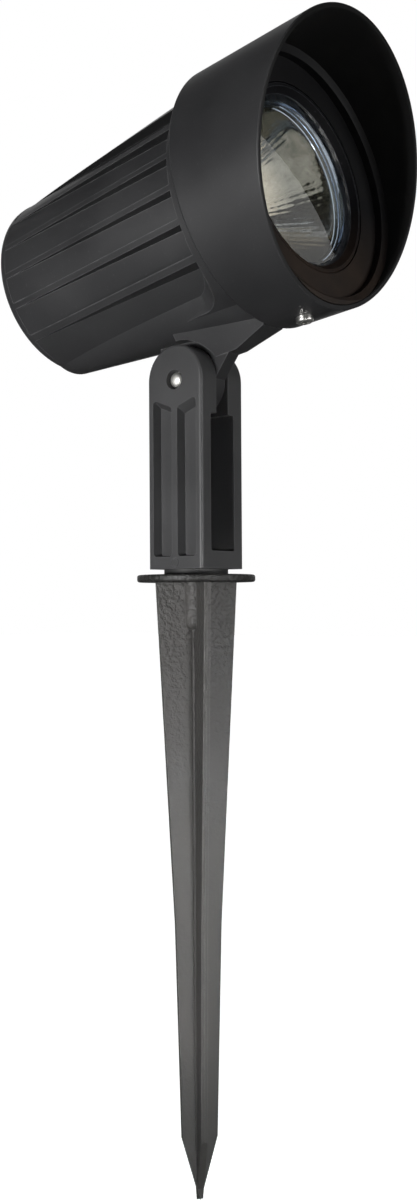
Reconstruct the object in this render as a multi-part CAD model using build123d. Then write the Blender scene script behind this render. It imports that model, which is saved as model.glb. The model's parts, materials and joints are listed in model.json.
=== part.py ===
from build123d import *
from math import cos, radians, sin, sqrt
import os

# Garden spike spotlight: a ribbed lamp head on a yoke bracket, on a ground spike.
# Millimetres, +Z up. The origin lies on the spike's axis at the underside of its flange, which is
# the ground line. At rest the lamp shines towards -Y and its tilt axis lies along X.
# The head's pieces are drawn about the lamp axis: X stays X, Y is up and square to the lamp axis,
# and Z, the station, runs along it to the front, with station 0 at the joint of housing and hood.

BASE = (Align.CENTER, Align.CENTER, Align.MIN)

# ---- fits and clearances ----
running_fit = 0.06        # radial play of a pin or bolt in the bore that turns on it
thread_fit = 0.03         # radial play between a screw and its tapped hole
loose_fit = 0.15          # radial play of a screw in a plain hole, or of a piece in its seat
swivel_play = 0.05        # axial play between faces that turn on each other
through = 1.0             # how far a cutter runs past the face that it opens

# ---- pan heads, as shares of the head's own size ----
pan_crown_share = 0.45    # rounding of the head's edge, and depth of the cross recess
recess_reach_share = 0.62
recess_width_share = 0.3

# ---- ground spike ----
flange_radius = 19.4
flange_thickness = 2.4
flange_edge_radius = 0.8
spike_length = 202.3      # ground line to tip
point_length = 20.5
blade_top_width = 27.1
blade_waist_depth = 112.0 # below the ground line, where the blades' taper eases
blade_waist_width = 15.4
blade_end_width = 11.8    # where the point begins
blade_thickness = 2.2
spike_heading = -34.6     # how far the blades are turned from the bracket at rest
boss_radius = 4.2         # bolt boss where the blades cross
boss_length = 15.5
boss_end_radius = 2.0

# ---- swivel joint ----
friction_disc_radius = 10.5
friction_disc_thickness = 1.8
swivel_bolt_radius = 2.0
swivel_bolt_head_radius = 4.0
swivel_bolt_head_height = 2.6
swivel_bolt_grip = 10.5   # thread inside the spike, below the ground line
swivel_washer_radius = 5.0
swivel_washer_thickness = 0.8
spring_washer_radius = 3.7
spring_washer_thickness = 1.0
spring_washer_gap = 0.9

# ---- bracket ----
bracket_width = 21.3      # along X
bracket_depth = 22.7      # along Y, and twice the radius of the ears' tops
pivot_above_base = 61.0
bracket_floor = 5.7
bracket_edge_radius = 1.0
neck_width = 6.0          # slot for the arm
window_width = 12.0
window_height = 44.2
window_corner_radius = 1.0
pocket_depth = 3.4
pocket_draft = 8.0
pocket_roof_draft = 30.0  # slope of the pockets' slanted upper ends
pocket_bottom = 4.0       # above the bracket's base
pocket_corner_radius = 1.2
middle_rib_width = 2.4
side_frame_width = 2.3
pocket_top_inner = 8.8    # below the tilt axis, beside the middle rib
pocket_top_outer = 5.9    # below the tilt axis, beside the frame
mould_ring_radius = 1.6
mould_ring_width = 0.4
mould_ring_height = 0.25
mould_ring_above_base = 2.1

# ---- tilt joint ----
tilt_bolt_radius = 2.5
tilt_bolt_head_radius = 4.25
tilt_bolt_head_height = 5.0
tilt_head_recess = 0.3    # bolt head below the ear's face
tilt_socket_size = 4.0    # across the flats of the hexagon socket
tilt_socket_depth = 2.5
tilt_bolt_bevel = 0.4
tilt_nut_size = 8.0       # across the flats
tilt_nut_thickness = 4.0
bolt_end_past_nut = 2.4
bolt_window_radius = 3.25
tilt_washer_radius = 6.5
tilt_washer_thickness = 0.3

# ---- head: its place on the tilt joint ----
tilt_at_rest = 9.0        # nose up
arm_reach = 13.15         # from the housing's front radius down to the tilt axis
pivot_station = -33.8

# ---- housing ----
body_length = 88.6
body_taper = 7.15         # how much larger the front radius is than the rear radius
body_rear_sink = 1.4      # how far the middle of the rear end lies below the lamp axis
front_wall = 5.95         # wall round the bore that takes the front ring
body_end_radius = 3.0     # rounding of the closed end
collar_width = 4.8
rib_pitch = 10.06         # between the level ribs on both sides
rib_count = 5
rib_width = 1.85
top_rib_height = 17.0     # above the lamp axis
smooth_top_height = 26.0  # above this the body is smooth
recess_depth = 3.8        # at the collar
recess_rear_depth = 0.12
recess_length = 80.0
smooth_level = 34.0       # below the lamp axis, where the widths of the smooth strip are taken
smooth_rear_width = 1.3   # smooth strip underneath, where the recesses run out
smooth_front_width = 24.0
smooth_corner_radius = 14.0
smooth_slope = 0.56       # how much wider each side gets per millimetre up
smooth_rise = 16.0
belly_rear_radius = 14.5
belly_front_radius = 17.0
belly_rear_depth = 0.85   # how far the belly stands out below the body
belly_front_depth = 3.1
rear_wall = 3.5
ledge_width = 5.4         # seat of the heat spreader
ledge_station = -22.0
chamber_draft = 1.0       # how much wider the chamber gets from the ledge to the ring's bore
spigot_bore_depth = 8.0

# ---- keel and arm under the housing ----
arm_thickness = 5.3
arm_end_radius = 10.5
arm_step_drop = 1.4       # below the tilt axis, where the arm's front edge leaves its round end
arm_front_reach = 17.3    # from the tilt axis to where the arm's front edge meets the keel
arm_root_bury = 6.0       # how far outside the cavity the arm's root lies in the wall
keel_above_pivot = 5.3    # tilt axis to the keel's level lower edge
keel_front_rise = 3.8     # how much higher that edge is at the hood
keel_flat_end = -13.3     # station where the level edge turns up to the hood
keel_corner_radius = 4.0
keel_relief = 1.9         # space between the ears' round tops and the keel
keel_bottom_width = 5.9
keel_top_width = 15.6
keel_wedge_height = 9.2   # from its bottom width to its top width

# ---- hood ----
hood_overhang = 4.29      # how far the hood's rear stands out past the housing
hood_flare = 0.022
hood_wall = 1.6
hood_back_wall = 2.5
hood_cut_station = 33.75  # where the slanted front meets the lamp axis
hood_cut_slope = 0.287
hood_rear_edge_radius = 0.9
hood_rim_edge_radius = 0.35
hood_screw_station = 12.0
hood_screw_radius = 1.5
hood_screw_head_radius = 2.7
hood_screw_head_height = 1.9

# ---- front ring, glass and bezel ----
ring_neck_inset = 3.74    # from the hood's outside down to the neck that its back wall sits on
ring_face_height = 2.0    # the face round the glass stands this much in front of the glass
ring_ledge_height = 2.5   # and the ledge this much in front of the face
ring_ledge_width = 2.2
ring_ledge_bevel = 1.0
ring_bore_gap = 0.6       # how much larger the ring's bore is than the glass
ring_spigot_wall = 2.05
ring_lip_width = 3.0      # seat of the glass
ring_lip_thickness = 1.5
ring_lip_station = 11.2
ring_neck_wall = 1.6
core_width = 3.5          # hollow in the back of the ring
core_depth = 15.0
glass_radius = 28.6
glass_thickness = 4.0
glass_bevel = 0.8
gasket_thickness = 1.0
bezel_cover = 1.77        # how far the bezel reaches over the glass
bezel_height = 2.0
bezel_land_width = 0.8
bezel_skirt_wall = 1.3
bezel_skirt = 2.8
seal_section_radius = 0.85
seal_station = -4.6
seal_groove_width = 2.4

# ---- light source ----
spreader_thickness = 4.0
spreader_screw_inset = 2.8
spreader_screw_start = 30.0
machine_screw_radius = 1.5
machine_screw_head_radius = 2.7
machine_screw_head_height = 1.9
spreader_screw_grip = 5.0
led_board_radius = 13.0
led_board_thickness = 1.6
led_chip_size = 2.8
led_chip_height = 0.9
led_chip_circle = 5.2
led_ring_count = 8
holder_opening_radius = 8.6
holder_radius = 18.0
holder_height = 5.0
holder_screw_circle = 15.5
small_screw_radius = 1.25
small_screw_head_radius = 2.25
small_screw_head_height = 1.5
reflector_throat_radius = 8.5
reflector_wall = 1.2
reflector_points = 6      # points on the reflector's curve, closer together at the throat
reflector_flange = 1.0
lead_radius = 0.6
lead_spacing = 2.4
lead_hole_height = 20.5   # above the lamp axis
lead_hole_radius = 2.6
lead_start_inset = 2.0    # from the driver board's front edge
lead_end_height = 10.8
lead_bend_radius = 3.0

# ---- driver ----
board_width = 40.0
board_length = 44.0
board_thickness = 1.6
board_drop = 8.0          # lamp axis to the board's underside
board_rear_gap = 7.1      # from the housing's rear wall to the driver board
board_screw_inset_x = 6.5
board_screw_inset_z = 5.0
board_post_radius = 3.0
board_screw_grip = 5.0
transformer_width = 16.0
transformer_height = 13.0
transformer_length = 14.0
core_length = 7.0
winding_width = 11.2
winding_height = 10.4
winding_corner_radius = 2.0
transformer_x = 4.0
transformer_from_middle = 1.5  # forward of the board's middle
capacitor_radius = 5.0
capacitor_height = 14.0
capacitor_edge_radius = 0.5
capacitor_x = -11.0
capacitor_spacing = 11.0
rectifier_width = 8.0
rectifier_height = 3.6
rectifier_length = 6.0
controller_width = 5.0
controller_height = 1.7
controller_length = 4.0
switch_width = 10.0
switch_height = 4.5
switch_length = 6.0
switch_x = 5.0
switch_from_front = 6.6   # board's front edge to the switch transistor's middle
rectifier_x = 6.8
rectifier_from_rear = 11.0
controller_x = -1.5
controller_from_rear = 11.5
terminal_width = 17.0
terminal_height = 10.0
terminal_length = 7.5
terminal_pitch = 5.2
terminal_bevel = 1.5
terminal_hole_radius = 1.5
terminal_hole_height = 3.5
terminal_hole_depth = 4.5
terminal_screw_radius = 1.3
terminal_screw_height = 1.2
terminal_slot_width = 0.6
terminal_slot_depth = 0.6
terminal_screw_shift = 0.6    # forward of the terminal block's middle

# ---- cable gland ----
gland_thread_radius = 6.0
gland_thread_length = 10.0
gland_hex_size = 15.0
gland_hex_height = 4.0
gland_gasket_thickness = 1.0
gland_neck_radius = 5.6
gland_neck_length = 5.0
gland_cup_depth = 1.0     # how far the seal's seat reaches into the hexagon
gland_nut_height = 9.0
gland_nut_dome = 3.0
gland_locknut_height = 4.0
gland_seal_radius = 4.4
gland_seal_length = 6.5
cable_radius = 3.0        # bore that grips the supply cable
cable_clearance = 0.5

# ---- places that follow from the sizes above ----
bracket_base = flange_thickness + friction_disc_thickness + swivel_play
floor_top = bracket_base + bracket_floor
pivot_height = bracket_base + pivot_above_base
ear_radius = bracket_depth / 2
ear_face = bracket_width / 2
spreader_face = ledge_station + spreader_thickness
led_board_face = spreader_face + led_board_thickness
holder_face = spreader_face + holder_height
glass_seat = glass_radius + loose_fit
ring_bore_radius = glass_radius + ring_bore_gap
ring_lip_radius = glass_radius - ring_lip_width
reflector_mouth_radius = ring_lip_radius + loose_fit
spigot_radius = ring_bore_radius + ring_spigot_wall
spigot_bore_radius = spigot_radius + loose_fit
chamber_rear_radius = spigot_bore_radius - chamber_draft
cavity_radius = chamber_rear_radius - ledge_width
body_front_radius = spigot_bore_radius + front_wall
body_rear_radius = body_front_radius - body_taper
hood_rear_radius = body_front_radius + hood_overhang
ring_neck_radius = hood_rear_radius - ring_neck_inset
core_outer_radius = ring_neck_radius - ring_neck_wall
core_inner_radius = core_outer_radius - core_width
spreader_screw_circle = chamber_rear_radius - spreader_screw_inset
belly_rear_drop = body_rear_radius + body_rear_sink + belly_rear_depth
belly_front_drop = body_front_radius + belly_front_depth
arm_drop = body_front_radius + arm_reach
arm_root_drop = cavity_radius + arm_root_bury
keel_drop = arm_drop - keel_above_pivot
keel_front_drop = keel_drop - keel_front_rise
keel_top_drop = keel_drop - keel_wedge_height
gasket_station = ring_lip_station + ring_lip_thickness
glass_station = gasket_station + gasket_thickness
glass_face = glass_station + glass_thickness
ring_face_station = glass_face + ring_face_height
ring_ledge_station = ring_face_station + ring_ledge_height
bezel_radius = glass_radius + bezel_skirt_wall
board_top = board_thickness - board_drop
board_rear_station = rear_wall + board_rear_gap - body_length
board_front_station = board_rear_station + board_length
board_centre = board_rear_station + board_length / 2
lead_start_station = board_front_station - lead_start_inset
gland_seat = -body_length - gland_gasket_thickness
gland_neck_station = gland_seat - gland_hex_height

lamp_up = Vector(0, sin(radians(tilt_at_rest)), cos(radians(tilt_at_rest)))
lamp_forward = Vector(0, -cos(radians(tilt_at_rest)), sin(radians(tilt_at_rest)))
pivot = Vector(0, 0, pivot_height)
head_origin = pivot + lamp_up * arm_drop - lamp_forward * pivot_station
head_place = Plane(origin=head_origin, x_dir=(1, 0, 0), z_dir=lamp_forward).location


# ---- helpers ----
def rod(radius, bottom, top):
    """A cylinder about Z between two heights."""
    return Pos(0, 0, bottom) * Cylinder(radius, top - bottom, align=BASE)


def cross_rod(radius, left, right):
    """A cylinder about the X direction between two X positions."""
    return Rot(0, 90, 0) * rod(radius, left, right)


def up_rod(radius, low, high):
    """A cylinder about the Y direction between two Y positions."""
    return Rot(-90, 0, 0) * rod(radius, low, high)


def hex_bar(size, bottom, top):
    """A hexagonal bar about Z, by its size across the flats."""
    return extrude(Pos(0, 0, bottom) * RegularPolygon(size / 2, 6, major_radius=False), top - bottom)


def lathe(*outline):
    """A closed outline of (radius, station) points turned about Z."""
    return revolve(Plane.XZ * make_face(Polyline(*outline, close=True)), Axis.Z)


def block(x_range, y_range, z_range):
    """A box by its ranges."""
    size = [high - low for low, high in (x_range, y_range, z_range)]
    low_corner = (x_range[0], y_range[0], z_range[0])
    return Pos(*low_corner) * Box(*size, align=(Align.MIN, Align.MIN, Align.MIN))


def around(count, start, shape):
    """Copies of a shape, evenly spaced about Z."""
    return [Rot(0, 0, start + 360 / count * i) * shape for i in range(count)]


def group(shapes):
    """Separate solids that share one node."""
    return Compound(children=[s for shape in shapes for s in shape.solids()])


def pan_screw(radius, length, head_radius, head_height):
    """A pan-head screw along -Z with the seat of its head at Z 0, and a cross recess."""
    head = rod(head_radius, 0, head_height)
    crown = head_height * pan_crown_share
    head = fillet(head.edges().filter_by(GeomType.CIRCLE).sort_by(Axis.Z)[-1], crown)
    recess_arm = head_radius * recess_reach_share
    recess_width = head_radius * recess_width_share
    bottom = head_height - crown
    across = (-recess_width / 2, recess_width / 2)
    bar = block((-recess_arm, recess_arm), across, (bottom, head_height + through))
    return head + rod(radius, -length, 0) - bar - Rot(0, 0, 90) * bar


# ---- spike and swivel ----
def make_spike():
    top = blade_top_width / 2
    end = blade_end_width / 2
    shoulder = point_length - spike_length
    waist = blade_waist_width / 2
    edge = [(top, 0), (waist, -blade_waist_depth), (end, shoulder), (0, -spike_length)]
    half = make_face(Polyline((0, 0), *edge, close=True))
    half_blade = extrude(Plane.XZ * half, blade_thickness / 2, both=True)
    blade = half_blade + mirror(half_blade, Plane.YZ)
    flange = rod(flange_radius, 0, flange_thickness)
    flange = fillet(flange.edges().filter_by(GeomType.CIRCLE), flange_edge_radius)
    boss = rod(boss_radius, -boss_length, flange_thickness / 2)
    boss = fillet(boss.edges().filter_by(GeomType.CIRCLE).sort_by(Axis.Z)[0], boss_end_radius)
    thread = rod(swivel_bolt_radius + thread_fit, -swivel_bolt_grip - through, flange_thickness + through)
    return Rot(0, 0, spike_heading) * (blade + Rot(0, 0, 90) * blade + flange + boss) - thread


def make_friction_disc():
    bore = swivel_bolt_radius + loose_fit
    return rod(friction_disc_radius, flange_thickness, flange_thickness + friction_disc_thickness) - rod(
        bore, 0, floor_top
    )


washer_bottom = floor_top + swivel_play
spring_bottom = washer_bottom + swivel_washer_thickness
bolt_head_seat = spring_bottom + spring_washer_thickness


def make_swivel_washer():
    bore = rod(swivel_bolt_radius + loose_fit, 0, bolt_head_seat)
    return rod(swivel_washer_radius, washer_bottom, spring_bottom) - bore


def make_spring_washer():
    ring = rod(spring_washer_radius, spring_bottom, bolt_head_seat)
    ring = ring - rod(swivel_bolt_radius + loose_fit, 0, bolt_head_seat + through)
    split = block(
        (0, spring_washer_radius + through),
        (-spring_washer_gap / 2, spring_washer_gap / 2),
        (spring_bottom - through, bolt_head_seat + through),
    )
    return ring - split


def make_swivel_bolt():
    length = bolt_head_seat + swivel_bolt_grip
    bolt = pan_screw(swivel_bolt_radius, length, swivel_bolt_head_radius, swivel_bolt_head_height)
    return Pos(0, 0, bolt_head_seat) * bolt


# ---- bracket and tilt ----
neck_bottom = floor_top + window_height
nut_inner_face = neck_width / 2 + loose_fit
nut_outer_face = nut_inner_face + tilt_nut_thickness
bolt_end = nut_outer_face + bolt_end_past_nut
head_top = ear_face - tilt_head_recess
head_seat = head_top - tilt_bolt_head_height


def make_bracket():
    height = pivot_height - bracket_base
    side = Pos(0, bracket_base + height / 2) * Rectangle(bracket_depth, height)
    side = side + Pos(0, pivot_height) * Circle(ear_radius)
    body = extrude(Plane.YZ * side, ear_face, both=True)
    outer_edges = body.faces().filter_by(Axis.X).edges().filter_by(lambda e: e.center().Z > bracket_base)
    body = fillet(outer_edges, bracket_edge_radius)

    window = Pos(0, floor_top + window_height / 2) * Rectangle(window_width, window_height)
    window = fillet(window.vertices(), window_corner_radius)
    body = body - extrude(Plane.XZ * window, bracket_depth, both=True)
    neck_top = pivot_height + ear_radius + through
    half_neck = neck_width / 2
    body = body - block(
        (-half_neck, half_neck), (-bracket_depth, bracket_depth), (neck_bottom - through, neck_top)
    )

    inner = middle_rib_width / 2
    outer = ear_radius - side_frame_width
    low = bracket_base + pocket_bottom
    corners = (
        (inner, low),
        (outer, low),
        (outer, pivot_height - pocket_top_outer),
        (inner, pivot_height - pocket_top_inner),
    )
    pocket = make_face(Polyline(*corners, close=True))
    pocket = fillet(pocket.vertices(), pocket_corner_radius)
    ear_plane = Plane(origin=(ear_face, 0, 0), x_dir=(0, -1, 0), z_dir=(-1, 0, 0))
    pocket = extrude(ear_plane * pocket, pocket_depth, taper=pocket_draft)
    rise = (pocket_top_inner - pocket_top_outer) / (outer - inner)
    left, right = inner - ear_radius, outer + ear_radius
    roof_left = pivot_height - pocket_top_inner + rise * (left - inner)
    roof_right = pivot_height - pocket_top_outer + rise * (right - outer)
    roof = make_face(
        Polyline(
            (left, roof_left), (right, roof_right), (right, roof_right + ear_radius),
            (left, roof_left + ear_radius), close=True,
        )
    )
    roof = extrude(ear_plane * roof, pocket_depth + through, taper=-pocket_roof_draft)
    pocket = pocket - roof
    pocket = pocket + mirror(pocket, Plane.XZ)
    ring = Circle(mould_ring_radius) - Circle(mould_ring_radius - mould_ring_width)
    ring = Pos(0, bracket_base + mould_ring_above_base) * ring
    ring = extrude(ear_plane * ring, -mould_ring_height) + extrude(ear_plane * ring, mould_ring_height)
    body = body - pocket - mirror(pocket, Plane.YZ) + ring + mirror(ring, Plane.YZ)

    body = body - rod(swivel_bolt_radius + running_fit, 0, floor_top + through)
    bores = cross_rod(tilt_bolt_radius + thread_fit, -ear_face, ear_face)
    bores = bores + cross_rod(tilt_bolt_head_radius + loose_fit, head_seat, ear_face + through)
    bores = bores + cross_rod(bolt_window_radius, -ear_face - through, -nut_outer_face)
    pocket_size = tilt_nut_size + 2 * loose_fit
    nut_pocket = Rot(0, 90, 0) * hex_bar(pocket_size, -nut_outer_face, -neck_width / 2 + through)
    return body - Pos(0, 0, pivot_height) * (bores + nut_pocket)


def make_tilt_bolt():
    head = cross_rod(tilt_bolt_head_radius, head_seat, head_top)
    head = chamfer(head.edges().filter_by(GeomType.CIRCLE).sort_by(Axis.X)[-1], tilt_bolt_bevel)
    shank = cross_rod(tilt_bolt_radius, -bolt_end, head_seat)
    shank = chamfer(shank.edges().filter_by(GeomType.CIRCLE).sort_by(Axis.X)[0], tilt_bolt_bevel)
    socket = Rot(0, 90, 0) * hex_bar(tilt_socket_size, head_top - tilt_socket_depth, head_top + through)
    return Pos(0, 0, pivot_height) * (head + shank - socket)


def make_tilt_nut():
    nut = hex_bar(tilt_nut_size, -nut_outer_face, -nut_inner_face)
    nut = nut - rod(tilt_bolt_radius + thread_fit, -ear_face, ear_face)
    return Pos(0, 0, pivot_height) * Rot(0, 90, 0) * nut


def make_tilt_washers():
    washer_inner = (neck_width + arm_thickness) / 4 - tilt_washer_thickness / 2
    washer = rod(tilt_washer_radius, washer_inner, washer_inner + tilt_washer_thickness)
    washer = washer - rod(tilt_bolt_radius + thread_fit, -ear_face, ear_face)
    washer = Pos(0, 0, pivot_height) * Rot(0, 90, 0) * washer
    return group([washer, mirror(washer, Plane.YZ)])


# ---- housing ----
def body_radius(station):
    """Radius of the housing's full body at a station."""
    return body_front_radius + (body_front_radius - body_rear_radius) * station / body_length


def body_circle(station, depth=0):
    """The body's round section at a station, or one that lies a depth below its surface."""
    middle = body_rear_sink * station / body_length
    return Pos(0, middle, station) * Circle(body_radius(station) - depth)


collar_station = -collar_width
recess_start = collar_station - recess_length


def strip_section(level):
    """Half of the strip underneath that has no recess, cut level at a height."""
    widen = smooth_slope * (level + smooth_level)
    rear = smooth_rear_width / 2 + widen
    front = smooth_front_width / 2 + widen
    turn = collar_station - smooth_corner_radius
    flare = front + smooth_corner_radius
    ahead = collar_station + through
    behind = recess_start - through
    edge = Line((rear, behind), (front, turn))
    corner = CenterArc((flare, turn), smooth_corner_radius, 90, 90)
    rest = Polyline((flare, collar_station), (flare, ahead), (0, ahead), (0, behind), (rear, behind))
    return Plane.XZ.offset(-level) * make_face([edge, corner] + rest.edges())


def make_smooth_strip():
    """The strip underneath that has no recess, flaring into the collar."""
    lowest = strip_section(-smooth_level)
    side = loft([lowest, strip_section(smooth_rise - smooth_level)], ruled=True)
    side = side + extrude(lowest, smooth_rise)
    return side + mirror(side, Plane.YZ)


def make_recesses():
    """What is cut away between the level ribs on both sides."""
    floor = loft([body_circle(recess_start, recess_rear_depth), body_circle(collar_station, recess_depth)])
    wide = body_front_radius + smooth_rise
    gone = rod(wide, recess_start, collar_station) - floor
    gone = gone - block((-wide, wide), (smooth_top_height, wide), (recess_start, collar_station))
    for i in range(rib_count):
        middle = top_rib_height - rib_pitch * i
        rib = (middle - rib_width / 2, middle + rib_width / 2)
        gone = gone - block((-wide, wide), rib, (recess_start, collar_station))
    return gone - make_smooth_strip()


def make_belly():
    rear = Pos(0, belly_rear_radius - belly_rear_drop, -body_length) * Circle(belly_rear_radius)
    front = Pos(0, belly_front_radius - belly_front_drop, 0) * Circle(belly_front_radius)
    belly = loft([rear, front])
    return fillet(belly.edges().sort_by(Axis.Z)[0], body_end_radius)


def side_slab(outline, half_width):
    """A slab across X from a closed outline of (station, up) points."""
    face = make_face(Polyline(*outline, close=True))
    side_plane = Plane(origin=(0, 0, 0), x_dir=(0, 0, 1), z_dir=(-1, 0, 0))
    return extrude(side_plane * face, half_width, both=True)


def pivot_rod(radius, half_length):
    """A cylinder on the tilt axis, in the head's own directions."""
    return Pos(0, -arm_drop, pivot_station) * cross_rod(radius, -half_length, half_length)


def make_arm():
    step = -arm_drop - arm_step_drop
    root = -arm_root_drop
    front = pivot_station + arm_front_reach
    rear = pivot_station - arm_end_radius
    tip = pivot_station + sqrt(arm_end_radius**2 - arm_step_drop**2)
    behind = ((rear, root), (rear, -arm_drop), (pivot_station, step))
    outline = (*behind, (tip, step), (front, -keel_drop), (front, root))
    web = side_slab(outline, arm_thickness / 2)
    return web + pivot_rod(arm_end_radius, arm_thickness / 2)


def make_keel():
    start = pivot_station
    outline = (
        (start, -keel_drop),
        (keel_flat_end, -keel_drop),
        (0, -keel_front_drop),
        (0, -arm_root_drop),
        (start, -arm_root_drop),
    )
    slab = side_slab(outline, keel_top_width)
    corner = slab.edges().filter_by(Axis.X).sort_by(lambda e: e.center().Y)[0:2].sort_by(Axis.Z)[-1]
    slab = fillet(corner, keel_corner_radius)
    spread = (keel_top_width - keel_bottom_width) / 2 / (keel_drop - keel_top_drop)
    root_half = keel_top_width / 2 + spread * (keel_top_drop - arm_root_drop)
    bottom_half = keel_bottom_width / 2 - spread * through
    low = -keel_drop - through
    right_side = ((bottom_half, low), (root_half, -arm_root_drop))
    section = ((-bottom_half, low), *right_side, (-root_half, -arm_root_drop))
    wedge = extrude(Pos(0, 0, start) * make_face(Polyline(*section, close=True)), -start)
    return (slab & wedge) - pivot_rod(ear_radius + keel_relief, keel_top_width)


def board_screw_spots():
    x = board_width / 2 - board_screw_inset_x
    z = board_length / 2 - board_screw_inset_z
    return [(i * x, board_centre + j * z) for i in (-1, 1) for j in (-1, 1)]


def spreader_screw_spots(shape):
    return around(3, spreader_screw_start, Pos(spreader_screw_circle, 0, 0) * shape)


def make_housing():
    body = loft([body_circle(-body_length), body_circle(0)])
    body = fillet(body.edges().sort_by(Axis.Z)[0], body_end_radius)
    shell = body - make_recesses() + make_belly() + make_keel() + make_arm()
    shell = shell - lathe(
        (0, rear_wall - body_length),
        (cavity_radius, rear_wall - body_length),
        (cavity_radius, ledge_station),
        (chamber_rear_radius, ledge_station),
        (spigot_bore_radius, -spigot_bore_depth),
        (spigot_bore_radius, through),
        (0, through),
    )
    post = up_rod(board_post_radius, -cavity_radius - through, -board_drop)
    post_hole = up_rod(machine_screw_radius + thread_fit, -board_drop - board_screw_grip - through, 0)
    for x, z in board_screw_spots():
        shell = shell + Pos(x, 0, z) * post - Pos(x, 0, z) * post_hole
    tapped = rod(machine_screw_radius + thread_fit, ledge_station - spreader_screw_grip - through, 0)
    for hole in spreader_screw_spots(tapped):
        shell = shell - hole
    inside = rear_wall - body_length + through
    shell = shell - rod(gland_thread_radius + thread_fit, -body_length - through, inside)
    return shell - pivot_rod(tilt_bolt_radius + running_fit, arm_thickness)


# ---- hood, front ring, glass and bezel ----
def hood_radius(station):
    """Outer radius of the hood at a station."""
    return hood_rear_radius + hood_flare * station


def front_cut(shape):
    """Cut a shape off at the hood's slanted front."""
    plane = Plane(origin=(0, 0, hood_cut_station), x_dir=(1, 0, 0), z_dir=(0, -hood_cut_slope, 1))
    return split(shape, bisect_by=plane, keep=Keep.BOTTOM)


hood_end = hood_cut_station + hood_cut_slope * (hood_rear_radius + 5 * through)
hood_screw_seat = hood_radius(hood_screw_station + hood_screw_head_radius)
screw_direction = Rot(90, 0, 0)


def radial_screw_place(shape):
    """Stand a shape drawn along Z on the hood's underside, pointing out of it."""
    return Pos(0, -hood_screw_seat, hood_screw_station) * screw_direction * shape


def make_hood():
    wall_station = hood_back_wall
    hood = lathe(
        (ring_neck_radius + loose_fit, 0),
        (hood_radius(0), 0),
        (hood_radius(hood_end), hood_end),
        (hood_radius(hood_end) - hood_wall, hood_end),
        (hood_radius(wall_station) - hood_wall, wall_station),
        (ring_neck_radius + loose_fit, wall_station),
    )
    rear_edge = hood.edges().filter_by(GeomType.CIRCLE).sort_by(Axis.Z)[0:2].sort_by(lambda e: e.radius)[-1]
    hood = fillet(rear_edge, hood_rear_edge_radius)
    hood = front_cut(hood)
    hood = fillet(hood.faces().sort_by(lambda f: f.center().Z)[-1].edges(), hood_rim_edge_radius)
    hole = radial_screw_place(rod(hood_screw_radius + loose_fit, -2 * hood_wall, 2 * hood_wall))
    return hood - hole


def make_hood_screw():
    length = hood_screw_seat - core_outer_radius - loose_fit
    return radial_screw_place(
        pan_screw(hood_screw_radius, length, hood_screw_head_radius, hood_screw_head_height)
    )


def make_front_ring():
    shoulder = hood_back_wall + loose_fit
    outer = hood_radius(shoulder) - hood_wall - running_fit
    ledge_top = ring_ledge_station + ring_ledge_bevel
    outer_front = hood_radius(ledge_top) - hood_wall - running_fit
    ring_ledge_radius = outer_front - ring_ledge_width
    ring = lathe(
        (ring_bore_radius, -spigot_bore_depth),
        (spigot_radius, -spigot_bore_depth),
        (spigot_radius, 0),
        (core_inner_radius, 0),
        (core_inner_radius, core_depth),
        (core_outer_radius, core_depth),
        (core_outer_radius, 0),
        (ring_neck_radius, 0),
        (ring_neck_radius, shoulder),
        (outer, shoulder),
        (outer_front, ledge_top),
        (ring_ledge_radius, ring_ledge_station),
        (ring_ledge_radius, ring_face_station),
        (bezel_radius + loose_fit, ring_face_station),
        (bezel_radius + loose_fit, glass_face - bezel_skirt - loose_fit),
        (glass_seat, glass_face - bezel_skirt - loose_fit),
        (glass_seat, gasket_station),
        (ring_lip_radius, gasket_station),
        (ring_lip_radius, ring_lip_station),
        (ring_bore_radius, ring_lip_station),
    )
    groove_floor = spigot_bore_radius - 2 * (seal_section_radius + thread_fit)
    half_groove = seal_groove_width / 2
    groove = lathe(
        (groove_floor, seal_station - half_groove),
        (spigot_bore_radius, seal_station - half_groove),
        (spigot_bore_radius, seal_station + half_groove),
        (groove_floor, seal_station + half_groove),
    )
    thread_end = core_outer_radius - hood_rear_radius - through
    thread = radial_screw_place(rod(hood_screw_radius + thread_fit, thread_end, through))
    return front_cut(ring) - groove - thread


def make_housing_seal():
    centre = spigot_bore_radius - seal_section_radius - thread_fit
    return Pos(0, 0, seal_station) * Torus(centre, seal_section_radius)


def make_front_glass():
    glass = rod(glass_radius, glass_station, glass_face)
    return chamfer(glass.edges().filter_by(GeomType.CIRCLE).sort_by(Axis.Z)[-1], glass_bevel)


def make_glass_gasket():
    hole = rod(ring_lip_radius, 0, glass_station + through)
    return rod(glass_radius, gasket_station, glass_station) - hole


def make_bezel_ring():
    land = glass_face + bezel_height
    land_radius = glass_radius + bezel_land_width
    skirt_end = glass_face - bezel_skirt
    return lathe(
        (glass_radius - bezel_cover, glass_face),
        (glass_radius, land),
        (land_radius, land),
        (bezel_radius, land - (bezel_radius - land_radius)),
        (bezel_radius, skirt_end),
        (glass_seat, skirt_end),
        (glass_seat, glass_face),
    )


# ---- light source ----
def make_heat_spreader():
    plate = rod(chamber_rear_radius - loose_fit, ledge_station, spreader_face)
    plain_hole = rod(machine_screw_radius + loose_fit, ledge_station - through, through)
    for hole in spreader_screw_spots(plain_hole):
        plate = plate - hole
    plate = plate - Pos(0, lead_hole_height, 0) * rod(lead_hole_radius, ledge_station - through, through)
    for hole in holder_screw_spots(rod(small_screw_radius + thread_fit, ledge_station - through, through)):
        plate = plate - hole
    return plate


def holder_screw_spots(shape):
    return around(2, 0, Pos(holder_screw_circle, 0, 0) * shape)


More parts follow.
